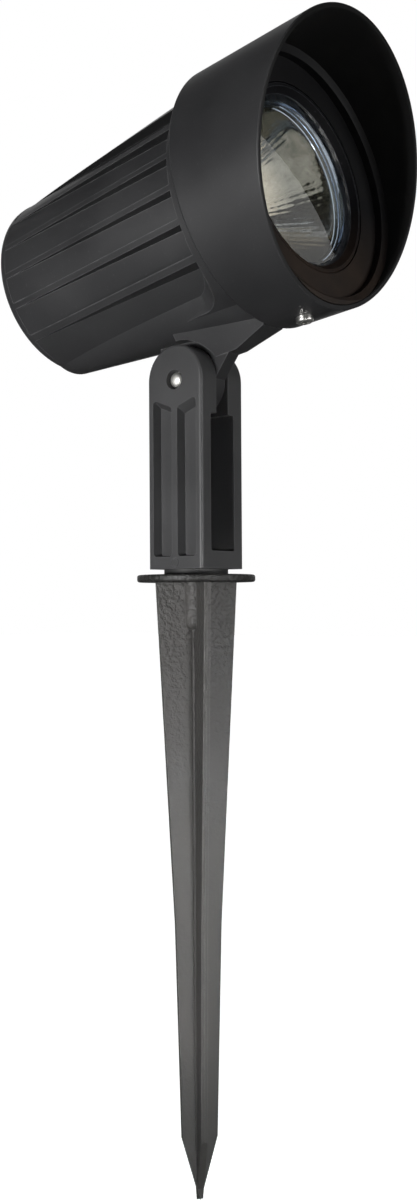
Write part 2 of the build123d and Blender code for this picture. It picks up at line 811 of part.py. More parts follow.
def make_spreader_screws():
    length = spreader_thickness + spreader_screw_grip
    screw = pan_screw(machine_screw_radius, length, machine_screw_head_radius, machine_screw_head_height)
    return group(spreader_screw_spots(Pos(0, 0, spreader_face) * screw))


def make_led_board():
    return rod(led_board_radius, spreader_face, led_board_face)


def make_led_chips():
    half = led_chip_size / 2
    chip = block((-half, half), (-half, half), (led_board_face, led_board_face + led_chip_height))
    return group([chip] + around(led_ring_count, 0, Pos(led_chip_circle, 0, 0) * chip))


def make_led_holder():
    holder = lathe(
        (holder_opening_radius, led_board_face),
        (led_board_radius + loose_fit, led_board_face),
        (led_board_radius + loose_fit, spreader_face),
        (holder_radius, spreader_face),
        (holder_radius, holder_face),
        (holder_opening_radius, holder_face),
    )
    half_slot = lead_spacing / 2 + 2 * lead_radius
    slot_top = led_board_face + 3 * lead_radius
    slot_bottom = lead_end_height - lead_radius
    slot = block((-half_slot, half_slot), (slot_bottom, lead_hole_height), (spreader_face, slot_top))
    for hole in holder_screw_spots(rod(small_screw_radius + loose_fit, spreader_face - through, through)):
        holder = holder - hole
    return holder - slot


def make_holder_screws():
    length = holder_height + spreader_thickness - 2 * through
    screw = pan_screw(small_screw_radius, length, small_screw_head_radius, small_screw_head_height)
    return group(holder_screw_spots(Pos(0, 0, holder_face) * screw))


reflector_rear = holder_face
reflector_front = ring_lip_station - loose_fit


def reflector_radius(share):
    """Inner radius of the reflector's parabola at a share of its depth."""
    throat = reflector_throat_radius**2
    mouth = reflector_mouth_radius**2
    return sqrt(throat + (mouth - throat) * share)


def make_reflector():
    depth = reflector_front - reflector_flange - reflector_rear
    shares = [(i / reflector_points) ** 2 for i in range(reflector_points + 1)]
    inner = [(reflector_radius(share), reflector_rear + depth * share) for share in shares]
    outer = [(radius + reflector_wall, station) for radius, station in inner]
    rim = ring_bore_radius - loose_fit
    flange_rear = reflector_front - reflector_flange
    face = make_face(
        [
            Spline(*inner),
            Line(inner[-1], (reflector_mouth_radius, reflector_front)),
            Line((reflector_mouth_radius, reflector_front), (rim, reflector_front)),
            Line((rim, reflector_front), (rim, flange_rear)),
            Line((rim, flange_rear), outer[-1]),
            Spline(*outer),
            Line(outer[0], inner[0]),
        ]
    )
    return revolve(Plane.XZ * face, Axis.Z)


lead_level = led_board_face + lead_radius + loose_fit


def make_led_leads():
    foot = board_top
    leads = []
    for side in (-1, 1):
        x = side * lead_spacing / 2
        path = FilletPolyline(
            (x, foot, lead_start_station),
            (x, lead_hole_height, lead_start_station),
            (x, lead_hole_height, lead_level),
            (x, lead_end_height, lead_level),
            radius=lead_bend_radius,
        )
        start = Plane(origin=(x, foot, lead_start_station), x_dir=(1, 0, 0), z_dir=(0, 1, 0))
        leads.append(sweep(start * Circle(lead_radius), path))
    return group(leads)


# ---- driver ----
def make_driver_board():
    half = board_width / 2
    board = block((-half, half), (-board_drop, board_top), (board_rear_station, board_front_station))
    hole = up_rod(machine_screw_radius + loose_fit, -board_drop - through, board_top + through)
    for x, z in board_screw_spots():
        board = board - Pos(x, 0, z) * hole
    return board


def make_driver_screws():
    length = board_thickness + board_screw_grip
    screw = pan_screw(machine_screw_radius, length, small_screw_head_radius, machine_screw_head_height)
    return group([Pos(x, board_top, z) * Rot(-90, 0, 0) * screw for x, z in board_screw_spots()])


def on_board(x, station, width, height, length):
    """A block that stands on the driver board, by the centre of its foot."""
    return block(
        (x - width / 2, x + width / 2),
        (board_top, board_top + height),
        (station - length / 2, station + length / 2),
    )


def make_transformer():
    middle = board_centre + transformer_from_middle
    core = on_board(transformer_x, middle, transformer_width, transformer_height, core_length)
    winding = on_board(transformer_x, middle, winding_width, winding_height, transformer_length)
    winding = fillet(winding.edges().filter_by(Axis.Y), winding_corner_radius)
    return core + winding


def make_capacitors():
    can = up_rod(capacitor_radius, board_top, board_top + capacitor_height)
    can = fillet(can.edges().filter_by(GeomType.CIRCLE).sort_by(Axis.Y)[-1], capacitor_edge_radius)
    half = capacitor_spacing / 2
    return group([Pos(capacitor_x, 0, board_centre + side * half) * can for side in (-1, 1)])


def make_driver_chips():
    rectifier_station = board_rear_station + rectifier_from_rear
    controller_station = board_rear_station + controller_from_rear
    switch_station = board_front_station - switch_from_front
    rectifier = on_board(
        rectifier_x, rectifier_station, rectifier_width, rectifier_height, rectifier_length
    )
    controller = on_board(
        controller_x, controller_station, controller_width, controller_height, controller_length
    )
    switch = on_board(switch_x, switch_station, switch_width, switch_height, switch_length)
    return group([rectifier, controller, switch])


terminal_station = board_rear_station + terminal_length / 2


def make_terminal_block():
    body = on_board(0, terminal_station, terminal_width, terminal_height, terminal_length)
    body = chamfer(body.edges().filter_by(Axis.X).sort_by(Axis.Y)[-1], terminal_bevel)
    for i in (-1, 0, 1):
        wire_hole = Pos(i * terminal_pitch, board_top + terminal_hole_height, 0) * rod(
            terminal_hole_radius, board_rear_station - through, board_rear_station + terminal_hole_depth
        )
        body = body - wire_hole
    return body


def make_terminal_screws():
    top = board_top + terminal_height
    screw = up_rod(terminal_screw_radius, top, top + terminal_screw_height)
    half_slot = terminal_slot_width / 2
    cut = (top + terminal_screw_height - terminal_slot_depth, top + terminal_screw_height + through)
    slot = block((-2 * through, 2 * through), cut, (-half_slot, half_slot))
    screw = Pos(0, 0, terminal_station + terminal_screw_shift) * (screw - slot)
    return group([Pos(i * terminal_pitch, 0, 0) * screw for i in (-1, 0, 1)])


# ---- cable gland ----
gland_nut_front = gland_neck_station - loose_fit
gland_nut_rear = gland_nut_front - gland_nut_height
seal_front = gland_neck_station + gland_cup_depth


def make_gland_gasket():
    ring = rod(gland_hex_size / 2, gland_seat, -body_length)
    return ring - rod(gland_thread_radius + thread_fit, gland_seat - through, 0)


def make_gland_body():
    hexagon = hex_bar(gland_hex_size, gland_neck_station, gland_seat)
    thread = rod(gland_thread_radius, gland_seat, gland_seat + gland_thread_length)
    neck = rod(gland_neck_radius, gland_neck_station - gland_neck_length, gland_neck_station)
    thread_end = gland_seat + gland_thread_length + through
    bore = rod(cable_radius + cable_clearance, gland_neck_station, thread_end)
    cup = rod(gland_seal_radius + thread_fit, gland_neck_station - gland_neck_length - through, seal_front)
    return hexagon + thread + neck - bore - cup


def make_gland_seal():
    sleeve = rod(gland_seal_radius, seal_front - gland_seal_length, seal_front)
    return sleeve - rod(cable_radius, -2 * body_length, 0)


def make_gland_nut():
    body = hex_bar(gland_hex_size, gland_nut_rear + gland_nut_dome, gland_nut_front)
    dome = Cone(gland_neck_radius, gland_hex_size / 2, gland_nut_dome, align=BASE)
    thread_end = gland_neck_station - gland_neck_length - loose_fit
    seal_end = seal_front - gland_seal_length - loose_fit
    inner = rod(gland_neck_radius + thread_fit, thread_end, gland_nut_front + through)
    inner = inner + rod(gland_seal_radius + loose_fit, seal_end, thread_end)
    inner = inner + rod(cable_radius + cable_clearance, gland_nut_rear - through, seal_end)
    return body + Pos(0, 0, gland_nut_rear) * dome - inner


def make_gland_locknut():
    inside = rear_wall - body_length
    nut = hex_bar(gland_hex_size, inside, inside + gland_locknut_height)
    return nut - rod(gland_thread_radius + thread_fit, -body_length, 0)


# ---- the whole lamp ----
fixed_parts = {
    "spike": make_spike(),
    "friction_disc": make_friction_disc(),
    "swivel_washer": make_swivel_washer(),
    "swivel_spring_washer": make_spring_washer(),
    "swivel_bolt": make_swivel_bolt(),
    "bracket": make_bracket(),
    "tilt_bolt": make_tilt_bolt(),
    "tilt_nut": make_tilt_nut(),
    "tilt_washers": make_tilt_washers(),
}
head_parts = {
    "housing": make_housing(),
    "housing_seal": make_housing_seal(),
    "hood": make_hood(),
    "hood_screw": make_hood_screw(),
    "front_ring": make_front_ring(),
    "glass_gasket": make_glass_gasket(),
    "front_glass": make_front_glass(),
    "bezel_ring": make_bezel_ring(),
    "reflector": make_reflector(),
    "heat_spreader": make_heat_spreader(),
    "spreader_screws": make_spreader_screws(),
    "led_board": make_led_board(),
    "led_chips": make_led_chips(),
    "led_holder": make_led_holder(),
    "holder_screws": make_holder_screws(),
    "led_leads": make_led_leads(),
    "driver_board": make_driver_board(),
    "driver_screws": make_driver_screws(),
    "driver_transformer": make_transformer(),
    "driver_capacitors": make_capacitors(),
    "driver_chips": make_driver_chips(),
    "terminal_block": make_terminal_block(),
    "terminal_screws": make_terminal_screws(),
    "gland_gasket": make_gland_gasket(),
    "gland_body": make_gland_body(),
    "gland_seal": make_gland_seal(),
    "gland_nut": make_gland_nut(),
    "gland_locknut": make_gland_locknut(),
}

os.makedirs("parts", exist_ok=True)
for name, shape in fixed_parts.items():
    export_step(shape, f"parts/{name}.step")
for name, shape in head_parts.items():
    export_step(head_place * shape, f"parts/{name}.step")
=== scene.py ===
import json
from math import cos, pi, radians, sin, tau

import bmesh
import bpy
from mathutils import Matrix, Vector


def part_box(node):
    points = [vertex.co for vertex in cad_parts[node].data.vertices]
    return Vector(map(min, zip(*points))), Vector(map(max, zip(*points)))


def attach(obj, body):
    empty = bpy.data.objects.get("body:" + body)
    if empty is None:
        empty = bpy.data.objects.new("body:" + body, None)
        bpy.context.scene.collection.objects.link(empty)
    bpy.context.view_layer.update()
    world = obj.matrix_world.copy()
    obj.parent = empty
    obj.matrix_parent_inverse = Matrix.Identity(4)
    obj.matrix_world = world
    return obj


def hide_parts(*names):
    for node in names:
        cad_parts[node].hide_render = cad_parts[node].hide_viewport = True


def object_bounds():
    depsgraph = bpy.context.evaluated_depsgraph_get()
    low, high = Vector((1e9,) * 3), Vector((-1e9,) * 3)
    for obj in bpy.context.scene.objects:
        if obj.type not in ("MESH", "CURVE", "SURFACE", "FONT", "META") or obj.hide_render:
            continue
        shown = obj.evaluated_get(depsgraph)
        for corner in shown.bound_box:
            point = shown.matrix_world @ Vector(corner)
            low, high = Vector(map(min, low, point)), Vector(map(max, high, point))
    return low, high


# A garden spike spotlight: ribbed lamp head with a slanted hood, yoke bracket, ground spike.
# Metres, +Z up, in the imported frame: the ground line is Z 0 and the lamp shines towards -Y.

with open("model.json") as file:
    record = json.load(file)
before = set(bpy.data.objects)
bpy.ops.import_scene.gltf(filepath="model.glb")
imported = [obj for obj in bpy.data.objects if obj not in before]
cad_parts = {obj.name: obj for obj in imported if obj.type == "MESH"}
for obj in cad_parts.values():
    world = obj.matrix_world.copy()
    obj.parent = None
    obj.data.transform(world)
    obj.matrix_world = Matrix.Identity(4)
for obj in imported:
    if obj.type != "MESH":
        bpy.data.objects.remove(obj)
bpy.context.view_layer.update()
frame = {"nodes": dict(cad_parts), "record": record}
record = frame["record"]
nodes = frame["nodes"]

mm = 0.001
weld = 0.001 * mm
sharp_edge = radians(35)


# ---- where the lamp axis lies ----
def mount(name):
    return next(m for m in record["mounts"] if m["name"] == name)


cable_mouth = Vector(mount("cable_entry")["pos_m"])
lamp_forward = -Vector(mount("cable_entry")["axis"]).normalized()
lamp_side = Vector((1, 0, 0))
lamp_up = lamp_forward.cross(lamp_side)


def stations(node):
    """How far a node reaches along the lamp axis, from the cable entry forwards."""
    along = [(v.co - cable_mouth).dot(lamp_forward) for v in nodes[node].data.vertices]
    return min(along), max(along)


def radii(node):
    """The smallest and the largest distance of a node's corners from the lamp axis."""
    away = [(v.co - cable_mouth).cross(lamp_forward).length for v in nodes[node].data.vertices]
    return min(away), max(away)


# Turns a shape drawn about Z, with Y up, onto the lamp axis; its Z 0 is the joint of housing and hood.
joint = stations("hood")[0]
joint_place = Matrix.Translation(cable_mouth + lamp_forward * joint)
lamp_place = joint_place @ Matrix((lamp_side, lamp_up, lamp_forward)).transposed().to_4x4()


def before_joint(node):
    """A node's rear and front stations, from the joint forwards."""
    rear, front = stations(node)
    return rear - joint, front - joint


# ---- making meshes ----
def finished(mesh_builder, name, place=None):
    """An object at the origin from a bmesh, with its place in its mesh."""
    if place is not None:
        bmesh.ops.transform(mesh_builder, matrix=place, verts=mesh_builder.verts)
    bmesh.ops.remove_doubles(mesh_builder, verts=mesh_builder.verts, dist=weld)
    bmesh.ops.recalc_face_normals(mesh_builder, faces=mesh_builder.faces)
    mesh = bpy.data.meshes.new(name)
    mesh_builder.to_mesh(mesh)
    mesh_builder.free()
    piece = bpy.data.objects.new(name, mesh)
    bpy.context.scene.collection.objects.link(piece)
    return piece


def turned(outline, steps):
    """A closed outline of (radius, station) points spun about Z."""
    turning = bmesh.new()
    points = [turning.verts.new((radius, 0, station)) for radius, station in outline]
    edges = [turning.edges.new((points[i - 1], points[i])) for i in range(len(points))]
    bmesh.ops.spin(
        turning,
        geom=points + edges,
        cent=(0, 0, 0),
        axis=(0, 0, 1),
        angle=tau,
        steps=steps,
        use_merge=True,
        use_duplicate=False,
    )
    bmesh.ops.remove_doubles(turning, verts=turning.verts, dist=weld)
    return turning


def drawn_along(section, places):
    """A bar: a flat section carried from place to place."""
    bar = bmesh.new()
    corners = [bar.verts.new((x, y, 0)) for x, y in section]
    face = bar.faces.new(corners)
    bmesh.ops.transform(bar, matrix=places[0], verts=corners)
    for before, after in zip(places, places[1:]):
        first = before is places[0]
        grown = bmesh.ops.extrude_face_region(bar, geom=[face], use_keep_orig=first)["geom"]
        verts = [g for g in grown if isinstance(g, bmesh.types.BMVert)]
        face = next(g for g in grown if isinstance(g, bmesh.types.BMFace))
        bmesh.ops.transform(bar, matrix=after @ before.inverted(), verts=verts)
    return bar


def smooth(piece):
    """Shade the piece smooth, but not over its edges."""
    for face in piece.data.polygons:
        face.use_smooth = True
    mesh = piece.data
    sharpening = bmesh.new()
    sharpening.from_mesh(mesh)
    for edge in sharpening.edges:
        edge.smooth = len(edge.link_faces) == 2 and edge.calc_face_angle() < sharp_edge
    sharpening.to_mesh(mesh)
    sharpening.free()


def dress(piece, material):
    """Give the piece this material alone."""
    piece.data.materials.clear()
    piece.data.materials.append(material)


# ---- node helpers ----
def new_material(name):
    """A material with its node tree, its Principled shader and its Object coordinates."""
    material = bpy.data.materials.new(name)
    material.use_nodes = True
    tree = material.node_tree
    return material, tree, tree.nodes["Principled BSDF"], on_piece(tree)


def on_piece(tree):
    """Object coordinates: where a point lies on the resting lamp."""
    return tree.nodes.new("ShaderNodeTexCoord").outputs["Object"]


def new_group(name, inputs, outputs):
    """A shader node group with named sockets, its input node and its output node."""
    group = bpy.data.node_groups.new(name, "ShaderNodeTree")
    for socket, kind, value in inputs:
        made = group.interface.new_socket(name=socket, in_out="INPUT", socket_type=kind)
        if value is not None:
            made.default_value = value
    for socket, kind in outputs:
        group.interface.new_socket(name=socket, in_out="OUTPUT", socket_type=kind)
    return group, group.nodes.new("NodeGroupInput"), group.nodes.new("NodeGroupOutput")


def link(tree, source, target):
    tree.links.new(source, target)


def feed(tree, value, target):
    """Put a plain value or another socket's value into a socket."""
    if isinstance(value, bpy.types.NodeSocket):
        link(tree, value, target)
    elif value is not None:
        target.default_value = value


def place_group(tree, group, **values):
    """The group in a material, with its own values; a word's underscores stand for spaces."""
    node = tree.nodes.new("ShaderNodeGroup")
    node.node_tree = group
    for word, value in values.items():
        feed(tree, value, node.inputs[word.replace("_", " ")])
    return node


def noise(tree, vector, scale, detail, roughness=0.5):
    """A cloudy pattern from 0 to 1."""
    node = tree.nodes.new("ShaderNodeTexNoise")
    feed(tree, scale, node.inputs["Scale"])
    node.inputs["Detail"].default_value = detail
    node.inputs["Roughness"].default_value = roughness
    link(tree, vector, node.inputs["Vector"])
    return node.outputs["Fac"]


def ramp(tree, value, low, high, from_low=0.0, from_high=1.0):
    """A value stretched from one range to another, clamped."""
    node = tree.nodes.new("ShaderNodeMapRange")
    node.clamp = True
    link(tree, value, node.inputs["Value"])
    node.inputs["From Min"].default_value = from_low
    node.inputs["From Max"].default_value = from_high
    node.inputs["To Min"].default_value = low
    node.inputs["To Max"].default_value = high
    return node.outputs["Result"]


def calculate(tree, operation, first, second=None):
    """An operation on one or two numbers."""
    node = tree.nodes.new("ShaderNodeMath")
    node.operation = operation
    feed(tree, first, node.inputs[0])
    feed(tree, second, node.inputs[1])
    return node.outputs[0]


def combine(tree, operation, first, second=None, output="Vector"):
    """A vector operation on one or two vectors."""
    node = tree.nodes.new("ShaderNodeVectorMath")
    node.operation = operation
    feed(tree, first, node.inputs[0])
    feed(tree, second, node.inputs[1])
    return node.outputs[output]


def between_heights(tree, place, low, high):
    """0 at one height of the resting lamp, 1 at another."""
    parts = tree.nodes.new("ShaderNodeSeparateXYZ")
    link(tree, place, parts.inputs[0])
    return ramp(tree, parts.outputs["Z"], 0.0, 1.0, low, high)


def mixed(tree, share, first, second):
    """Two colours mixed by a share."""
    node = tree.nodes.new("ShaderNodeMix")
    node.data_type = "RGBA"
    link(tree, share, node.inputs["Factor"])
    for socket, colour in (("A", first), ("B", second)):
        target = next(s for s in node.inputs if s.name == socket and s.type == "RGBA")
        feed(tree, (*colour, 1) if isinstance(colour, tuple) else colour, target)
    return next(s for s in node.outputs if s.type == "RGBA")


def bump(tree, height, strength, distance, normal=None):
    """A normal that follows a height, laid over another normal if one is given."""
    node = tree.nodes.new("ShaderNodeBump")
    node.inputs["Strength"].default_value = strength
    node.inputs["Distance"].default_value = distance
    link(tree, height, node.inputs["Height"])
    if normal is not None:
        link(tree, normal, node.inputs["Normal"])
    return node.outputs["Normal"]


# ---- shared effects ----
def make_worn_and_highlit_edges():
    """Where the surface turns a corner, for wear and painted edge highlights: 0 on flats, up to 1 on sharp
    edges, broken up by noise.
    """
    group, enters, leaves = new_group(
        "worn_and_highlit_edges",
        [
            ("Coordinates", "NodeSocketVector", None),
            ("Radius", "NodeSocketFloat", 0.4 * mm),
            ("Breakup", "NodeSocketFloat", 0.5),
        ],
        [("Mask", "NodeSocketFloat")],
    )
    rounded = group.nodes.new("ShaderNodeBevel")
    rounded.samples = 4
    link(group, enters.outputs["Radius"], rounded.inputs["Radius"])
    flat = group.nodes.new("ShaderNodeNewGeometry").outputs["Normal"]
    agreement = combine(group, "DOT_PRODUCT", rounded.outputs["Normal"], flat, "Value")
    turn = ramp(group, agreement, 1.0, 0.0, from_low=0.86, from_high=0.995)
    clouds = noise(group, enters.outputs["Coordinates"], scale=220, detail=3)
    patches = ramp(group, clouds, 0.0, 1.0, from_low=0.35, from_high=0.65)
    broken = calculate(group, "MULTIPLY", enters.outputs["Breakup"], patches)
    kept = calculate(group, "SUBTRACT", 1.0, broken)
    link(group, calculate(group, "MULTIPLY", turn, kept), leaves.inputs["Mask"])
    return group


def make_coat_grain():
    """The fine orange peel of a powder coat, with soft dull patches and small pale specks."""
    group, enters, leaves = new_group(
        "coat_grain",
        [("Coordinates", "NodeSocketVector", None), ("Grain Scale", "NodeSocketFloat", 1500.0)],
        [("Height", "NodeSocketFloat"), ("Patches", "NodeSocketFloat"), ("Specks", "NodeSocketFloat")],
    )
    place = enters.outputs["Coordinates"]
    fine = noise(group, place, scale=enters.outputs["Grain Scale"], detail=3, roughness=0.6)
    wide = noise(group, place, scale=38, detail=3)
    small = noise(group, place, scale=900, detail=1)
    link(group, fine, leaves.inputs["Height"])
    link(group, ramp(group, wide, 0.0, 1.0, from_low=0.3, from_high=0.7), leaves.inputs["Patches"])
    link(group, ramp(group, small, 0.0, 1.0, from_low=0.68, from_high=0.76), leaves.inputs["Specks"])
    return group


worn_and_highlit_edges = make_worn_and_highlit_edges()
coat_grain = make_coat_grain()


# ---- masks that know the lamp ----
def from_lamp_axis(tree):
    """The way from the lamp axis to a point, square to the axis."""
    from_mouth = combine(tree, "SUBTRACT", on_piece(tree), cable_mouth)
    along = combine(tree, "DOT_PRODUCT", from_mouth, lamp_forward, "Value")
    on_axis = tree.nodes.new("ShaderNodeVectorMath")
    on_axis.operation = "SCALE"
    on_axis.inputs[0].default_value = lamp_forward
    link(tree, along, on_axis.inputs["Scale"])
    return combine(tree, "SUBTRACT", from_mouth, on_axis.outputs[0])


def above_lamp_axis(tree):
    """How far a point lies above the lamp axis."""
    return combine(tree, "DOT_PRODUCT", from_lamp_axis(tree), lamp_up, "Value")


def facing_axis(tree):
    """1 where the surface faces the lamp axis, 0 where it faces away from it."""
    normal = tree.nodes.new("ShaderNodeTexCoord").outputs["Normal"]
    # The distance from the axis, times how squarely the surface faces away from it.
    outwards = combine(tree, "DOT_PRODUCT", from_lamp_axis(tree), normal, "Value")
    return ramp(tree, outwards, 1.0, 0.0, from_low=-8 * mm, from_high=0.0)


def dust_and_glow_low_in_hood(tree):
    """Brown low in the hood: dust, with painted light reflected up from below."""
    low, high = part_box("front_ring")
    ring_middle = (low[2] + high[2]) / 2
    depth = between_heights(tree, on_piece(tree), ring_middle - 2 * mm, ring_middle - 26 * mm)
    clouds = noise(tree, on_piece(tree), scale=90, detail=3)
    return calculate(tree, "MULTIPLY", depth, ramp(tree, clouds, 0.5, 1.0, from_low=0.3, from_high=0.7))


def spike_darker_flange_and_end(tree):
    """Darker on the flange and towards the spike's end."""
    flange = between_heights(tree, on_piece(tree), -0.5 * mm, -0.1 * mm)
    end = between_heights(tree, on_piece(tree), -150 * mm, -182 * mm)
    end_share = 0.85
    return calculate(tree, "MAXIMUM", flange, calculate(tree, "MULTIPLY", end, end_share))


# ---- finishes ----
def make_coat(name, dark, light, worn_and_highlight, roughness, grain_scale, grain_depth, edge_mark_radius, gloss=0.36):
    """Powder coat over cast metal, paler along its edges with wear and painted highlights."""
    edge_mark_breakup = 0.6
    speck_strength = 0.12
    roughness_spread = 0.05
    material, tree, shader, place = new_material(name)
    grain = place_group(tree, coat_grain, Coordinates=place, Grain_Scale=grain_scale)
    edge_wear_and_highlight = place_group(tree, worn_and_highlit_edges, Coordinates=place, Radius=edge_mark_radius, Breakup=edge_mark_breakup)
    body = mixed(tree, grain.outputs["Patches"], dark, light)
    speck_share = calculate(tree, "MULTIPLY", grain.outputs["Specks"], speck_strength)
    specked = mixed(tree, speck_share, body, worn_and_highlight)
    # The pale colour goes on specks and on edges, where it is wear and painted highlight.
    link(tree, mixed(tree, edge_wear_and_highlight.outputs["Mask"], specked, worn_and_highlight), shader.inputs["Base Color"])
    rough = ramp(tree, grain.outputs["Patches"], roughness - roughness_spread, roughness + roughness_spread)
    link(tree, rough, shader.inputs["Roughness"])
    orange_peel = bump(tree, grain.outputs["Height"], strength=0.35, distance=grain_depth)
    link(tree, orange_peel, shader.inputs["Normal"])
    shader.inputs["Specular IOR Level"].default_value = gloss
    return material


def tint(material, share_of, colour):
    """Lay a colour over a finish where a mask says so."""
    tree = material.node_tree
    base = tree.nodes["Principled BSDF"].inputs["Base Color"]
    under = base.links[0].from_socket
    link(tree, mixed(tree, share_of(tree), under, colour), base)


def dull(material, share_of, roughness):
    """Roughen a finish where a mask says so."""
    tree = material.node_tree
    rough = tree.nodes["Principled BSDF"].inputs["Roughness"]
    under = rough.links[0].from_socket
    share = share_of(tree)
    kept = calculate(tree, "MULTIPLY", under, calculate(tree, "SUBTRACT", 1.0, share))
    link(tree, calculate(tree, "ADD", kept, calculate(tree, "MULTIPLY", share, roughness)), rough)


def pit(material):
    """Shallow hammered pits, which fade out down the spike."""
    faint, deep = 0.12, 0.3 * mm
    tree = material.node_tree
    shader = tree.nodes["Principled BSDF"]
    fade = between_heights(tree, on_piece(tree), -90 * mm, -15 * mm)
    clouds = noise(tree, on_piece(tree), scale=560, detail=2)
    pits = ramp(tree, clouds, 0.0, 1.0, from_low=0.4, from_high=0.62)
    height = calculate(tree, "MULTIPLY", pits, calculate(tree, "ADD", fade, faint))
    under = shader.inputs["Normal"].links[0].from_socket
    link(tree, bump(tree, height, strength=0.6, distance=deep, normal=under), shader.inputs["Normal"])


def make_steel(name, colour, roughness):
    """Bright stainless steel with fine turning marks and dull spots."""
    darkening = 0.72
    dulling = 0.14
    material, tree, shader, place = new_material(name)
    marks = noise(tree, place, scale=2600, detail=2)
    spots = noise(tree, place, scale=420, detail=3)
    darker = tuple(darkening * c for c in colour)
    stained = ramp(tree, spots, 0.0, 1.0, from_low=0.4, from_high=0.7)
    link(tree, mixed(tree, stained, colour, darker), shader.inputs["Base Color"])
    link(tree, ramp(tree, spots, roughness, roughness + dulling), shader.inputs["Roughness"])
    link(tree, bump(tree, marks, strength=0.15, distance=0.02 * mm), shader.inputs["Normal"])
    shader.inputs["Metallic"].default_value = 1.0
    return material


def make_plain(name, first, second, roughness, metallic=0.0):
    """A moulded or machined surface with slight mottling and a fine grain."""
    dulling = 0.1
    material, tree, shader, place = new_material(name)
    blotches = noise(tree, place, scale=300, detail=3)
    grain = noise(tree, place, scale=1800, detail=2)
    mottled = ramp(tree, blotches, 0.0, 1.0, from_low=0.35, from_high=0.65)
    link(tree, mixed(tree, mottled, first, second), shader.inputs["Base Color"])
    link(tree, ramp(tree, blotches, roughness, roughness + dulling), shader.inputs["Roughness"])
    link(tree, bump(tree, grain, strength=0.2, distance=0.03 * mm), shader.inputs["Normal"])
    shader.inputs["Metallic"].default_value = metallic
    return material


def make_glass():
    """Clear glass: nearly colourless, slightly warm, polished, with faint smears."""
    material, tree, shader, place = new_material("front_window_glass")
    clouds = noise(tree, place, scale=60, detail=3)
    smears = ramp(tree, clouds, 0.0, 0.03, from_low=0.45, from_high=0.75)
    link(tree, smears, shader.inputs["Roughness"])
    shader.inputs["Base Color"].default_value = (0.97, 0.97, 0.95, 1)
    shader.inputs["Transmission Weight"].default_value = 1.0
    shader.inputs["IOR"].default_value = 1.5
    return material


def window_mouth():
    """The radius at which the reflector's bowl meets its stepped rim."""
    rim_inside_gasket = 1.22 * mm
    return radii("glass_gasket")[0] - rim_inside_gasket


def make_mirror():
    """The metallised reflector with painted reflections: pale at the throat, dark outwards and warm low down;
    blue-grey on its stepped rim; soft waves.
    """
    pale, reflected_pale_spots = (0.97, 0.90, 0.75), (0.88, 0.79, 0.63)
    reflected_dark, reflected_dark_spots = (0.27, 0.27, 0.24), (0.20, 0.20, 0.175)
    reflected_warm_low = (0.42, 0.35, 0.27)
    rim_steps = (0.42, 0.49, 0.60)
    material, tree, shader, place = new_material("reflector_bright_metal")
    haze = noise(tree, place, scale=240, detail=3)
    spots = ramp(tree, haze, 0.0, 1.0, from_low=0.4, from_high=0.7)
    pale_reflection = mixed(tree, spots, pale, reflected_pale_spots)
    dark_reflection = mixed(tree, spots, reflected_dark, reflected_dark_spots)
    throat, rim = radii("reflector")
    away = combine(tree, "LENGTH", from_lamp_axis(tree), output="Value")
    outwards = ramp(tree, away, 0.0, 1.0, throat, (throat + rim) / 2)
    low = ramp(tree, above_lamp_axis(tree), 0.0, 0.6, 0.0, -12 * mm)
    # Painted reflections: the bowl's colour goes from pale to dark outwards and turns warmer low down.
    bowl = mixed(tree, low, mixed(tree, outwards, pale_reflection, dark_reflection), reflected_warm_low)
    stepped = ramp(tree, away, 0.0, 1.0, window_mouth(), window_mouth() + 0.2 * mm)
    link(tree, mixed(tree, stepped, bowl, rim_steps), shader.inputs["Base Color"])
    link(tree, ramp(tree, haze, 0.03, 0.1), shader.inputs["Roughness"])
    waves = bump(tree, noise(tree, place, scale=150, detail=2), strength=0.55, distance=0.5 * mm)
    ripples = noise(tree, place, scale=700, detail=2)
    rippled = bump(tree, ripples, strength=0.15, distance=0.05 * mm, normal=waves)
    link(tree, rippled, shader.inputs["Normal"])
    shader.inputs["Metallic"].default_value = 1.0
    return material


charcoal_coat = make_coat(
    "charcoal_coat",
    dark=(0.034, 0.034, 0.035),
    light=(0.045, 0.045, 0.046),
    worn_and_highlight=(0.075, 0.075, 0.077),
    roughness=0.44,
    grain_scale=1700,
    grain_depth=0.06 * mm,
    edge_mark_radius=0.5 * mm,
)
# Painted shade: the same charcoal powder coat, made darker on the housing.
housing_coat_painted_darker = make_coat(
    "housing_coat_painted_darker",
    dark=(0.021, 0.021, 0.022),
    light=(0.029, 0.029, 0.030),
    worn_and_highlight=(0.10, 0.10, 0.102),
    roughness=0.40,
    grain_scale=1700,
    grain_depth=0.05 * mm,
    edge_mark_radius=0.5 * mm,
)
bezel_coat = make_coat(
    "bezel_coat",
    dark=(0.006, 0.006, 0.007),
    light=(0.008, 0.008, 0.010),
    worn_and_highlight=(0.16, 0.17, 0.19),
    roughness=0.45,
    grain_scale=1700,
    grain_depth=0.03 * mm,
    edge_mark_radius=0.3 * mm,
    gloss=0.2,
)
# Dust and painted reflected light, low on the bezel.
tint(bezel_coat, dust_and_glow_low_in_hood, (0.036, 0.024, 0.017))
spike_coat = make_coat(
    "spike_coat",
    dark=(0.031, 0.0305, 0.029),
    light=(0.043, 0.041, 0.039),
    worn_and_highlight=(0.095, 0.093, 0.09),
    roughness=0.5,
    grain_scale=1300,
    grain_depth=0.14 * mm,
    edge_mark_radius=0.4 * mm,
)
tint(spike_coat, spike_darker_flange_and_end, (0.015, 0.0148, 0.014))
pit(spike_coat)
